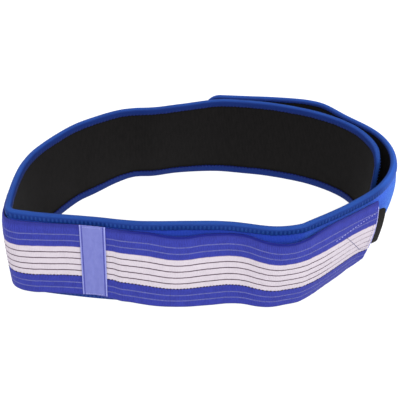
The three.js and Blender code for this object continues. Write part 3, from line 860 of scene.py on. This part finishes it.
def sewRows(name, rows, slot, thread, stitch):
    length, width, height, waver = stitches[stitch]
    points, edges = [], []
    for row in rows:
        start = len(points)
        points.extend(np.asarray(row).tolist())
        edges.extend((start + i, start + i + 1) for i in range(len(row) - 1))
    guide = bpy.data.meshes.new(name + "Guide")
    guide.from_pydata(points, edges, [])
    holder = bpy.data.objects.new(name + "Guide", guide)
    scene.collection.objects.link(holder)
    modifier = holder.modifiers.new("sewing", "NODES")
    modifier.node_group = sewingTree
    for key, value in (("Stitch Length", length * 0.001), ("Stitch Width", width * 0.001),
                       ("Stitch Height", height * 0.001), ("Waver", waver), ("Seed", sewingSeed),
                       ("Thread", thread)):
        modifier[sewingSockets[key]] = value
    done = holder.evaluated_get(bpy.context.evaluated_depsgraph_get())
    mesh = bpy.data.meshes.new_from_object(done)
    mesh.name = name
    holder.modifiers.remove(modifier)
    bpy.data.objects.remove(holder)
    bpy.data.meshes.remove(guide)
    mesh.materials.clear()
    finishPiece(linkPiece(name, mesh, thread), slot)


# the binding's cover stitches, each on the crest of a rib: bars outside, small darker ones inside
outerRows, innerRows = [], []
for upper in (True, False):
    run = edgeRun(upper, binding["step"])
    places = np.arange(1.25 * binding["pitch"], run[0][-1] - binding["pitch"], binding["pitch"])
    stitchRun = (places,) + tuple(np.interp(places, run[0], column) for column in run[1:5]) + (upper,)
    leg = innerLegs(stitchRun)
    barred = places < binding["calmFrom"]
    outerRows.append(onEdge(stitchRun, np.full_like(leg, binding["barIn"]), binding["barOut"])[barred, 0])
    innerRows.append(onEdge(stitchRun, leg - binding["innerRow"], binding["innerOut"])[:, 0])
sewRows("bindingStitches", outerRows, "binding_tape", blueThread, "bindingBar")
sewRows("bindingInnerStitches", innerRows, "binding_tape", navyThread, "bindingInner")

# the straps' thread lines; the dark ones go over to faded ones towards the strap's end
threads = dict(pitch=2.4, edgePitch=2.9, first=9.5, last=strap["length"] - 1.2, above=-0.12,
               seamAbove=0.05, fadeAt=0.5 * (strapLook["fadeFrom"] + strapLook["fadeTo"]))


def strapRows(lines, pitch, first, last):
    far = np.arange(first, last, pitch)
    return [strapFace(side, far, np.full(len(far), strapUp(share)), threads["above"])
            for side in (1, -1) for share in lines]


for name, lines, thread, first, last in (
        ("lightThreads", strap["lightLines"], taupeThread, threads["first"], threads["last"]),
        ("darkThreads", strap["darkLines"], umberThread, threads["first"], threads["fadeAt"]),
        ("fadedThreads", strap["darkLines"], fadedThread, threads["fadeAt"] + 1, threads["last"])):
    sewRows(name, strapRows(lines, threads["pitch"], first, last), "strap_elastic", thread, "line")
edgeRows = strapRows([strap["bandFoot"]], threads["edgePitch"], threads["first"], threads["last"])
sewRows("bandEdgeThreads", edgeRows, "strap_elastic", duskThread, "bandEdge")

# the join tape's side seams and its ends
tapeRows, tapeEndRows = [], []
for side in (-1, 1):
    up = np.arange(tape["low"] + 2, tape["high"] - 1, tape["seamPitch"])
    offset = np.full(len(up), side * (tape["width"] / 2 - tape["seamIn"]))
    tapeRows.append(wrap(tapeAlong + offset, up, tapeOut(offset, up) + tape["thick"] + tape["seamOut"]))
for up in (tape["low"] + tape["endIn"], tape["high"] - tape["endIn"]):
    offset = np.arange(-tape["width"] / 2 + 3.5, tape["width"] / 2 - 3, tape["endPitch"])
    tapeEndRows.append(wrap(tapeAlong + offset, up, tapeOut(offset, up) + tape["thick"] + tape["endOut"]))
sewRows("tapeSeams", tapeRows, "join_tape_web", violetThread, "tapeSide")
sewRows("tapeEndSeams", tapeEndRows, "join_tape_web", paleThread, "tapeEnd")

# seams round the strap ends: distance from the join tape and height on the strap at each corner
endSeams = dict(edging=((256.4, 72), (256.4, 24)), hold=((253.4, 72), (253.4, 26)),
                slant=((222, 54.5), (245.5, 27), (254.5, 23)), top=((209, 58), (231, 62.3), (252.5, 66.5)))


def seamRows(corners, pitch):
    rows = []
    for side in (1, -1):
        for start, end in zip(corners[:-1], corners[1:]):
            count = max(3, int(math.dist(start, end) / pitch) + 1)
            far, height = (np.linspace(a, b, count) for a, b in zip(start, end))
            rows.append(strapFace(side, far, height, threads["seamAbove"]))
    return rows


for name, seam, pitch, thread in (
        ("strapEndEdging", "edging", 1.5, paleThread), ("strapEndSeams", "hold", 2.6, taupeThread),
        ("strapSlantSeams", "slant", 2.2, navyThread), ("strapTopSeams", "top", 3.0, paleThread)):
    sewRows(name, seamRows(endSeams[seam], pitch), "strap_elastic", thread, seam)

# the hook patch is sewn on with a box seam
last = beltLength - patch["fromEnd"] - patch["seamIn"]
first = last - patch["length"] + 2 * patch["seamIn"]
low, high = patch["low"] + patch["seamIn"], patch["high"] - patch["seamIn"]
boxCorners = [(first, low), (last, low), (last, high), (first, high), (first, low)]
boxRows = []
for (a, b), (c, d) in zip(boxCorners[:-1], boxCorners[1:]):
    count = int(math.dist((a, b), (c, d)) / patch["seamPitch"])
    boxRows.append(wrap(np.linspace(a, c, count), np.linspace(b, d, count), layers["shell"][1] + 0.1))
sewRows("closureSeams", boxRows, "shell_knit", navyThread, "box")
print("sewn rows made")

# a floor that glows to white and soft light all round
studio = dict(floor=paint(124, 124, 124), floorGlow=0.9, floorReach=8.0, skyStrength=0.43)
# each light: its place, the point that it faces and its width and height in metres, its watts
lights = dict(frontTopLight=((0.15, -1.15, 1.1), (0, 0, 0.04), (1.2, 0.8), 23.5),
              rightLight=((1.2, 0.1, 0.9), (0.1, 0, 0.04), (0.8, 0.8), 9),
              leftLight=((-1.3, 0.5, 0.9), (-0.1, 0, 0.04), (0.8, 0.8), 11),
              backLight=((-0.4, 1.3, 1.1), (0, 0, 0.04), (1.2, 0.8), 7))


def makeFloor():
    mesh = bpy.data.meshes.new("paleFloor")
    reach = studio["floorReach"]
    corners = [(-reach, -reach, 0), (reach, -reach, 0), (reach, reach, 0), (-reach, reach, 0)]
    mesh.from_pydata(corners, [], [(0, 1, 2, 3)])
    material = bpy.data.materials.new("palePaper")
    material.use_nodes = True
    shader = material.node_tree.nodes["Principled BSDF"]
    shader.inputs["Base Color"].default_value = studio["floor"]
    shader.inputs["Roughness"].default_value = 0.9
    shader.inputs["Emission Color"].default_value = (1, 1, 1, 1)
    shader.inputs["Emission Strength"].default_value = studio["floorGlow"]
    linkPiece("paleFloor", mesh, material)


def addSoftLight(name, place, aim, size, power):
    lamp = bpy.data.lights.new(name, "AREA")
    lamp.shape = "RECTANGLE"
    lamp.size, lamp.size_y = size
    lamp.energy = power
    holder = bpy.data.objects.new(name, lamp)
    scene.collection.objects.link(holder)
    way = (Vector(aim) - Vector(place)).to_track_quat("-Z", "Y")
    holder.matrix_world = Matrix.Translation(place) @ way.to_matrix().to_4x4()


makeFloor()
sky = bpy.data.worlds.new("studioSky")
sky.use_nodes = True
sky.node_tree.nodes["Background"].inputs["Color"].default_value = (1, 1, 1, 1)
sky.node_tree.nodes["Background"].inputs["Strength"].default_value = studio["skyStrength"]
scene.world = sky
for name, settings in lights.items():
    addSoftLight(name, *settings)
scene.view_settings.view_transform = "Standard"
print("floor and lights set")
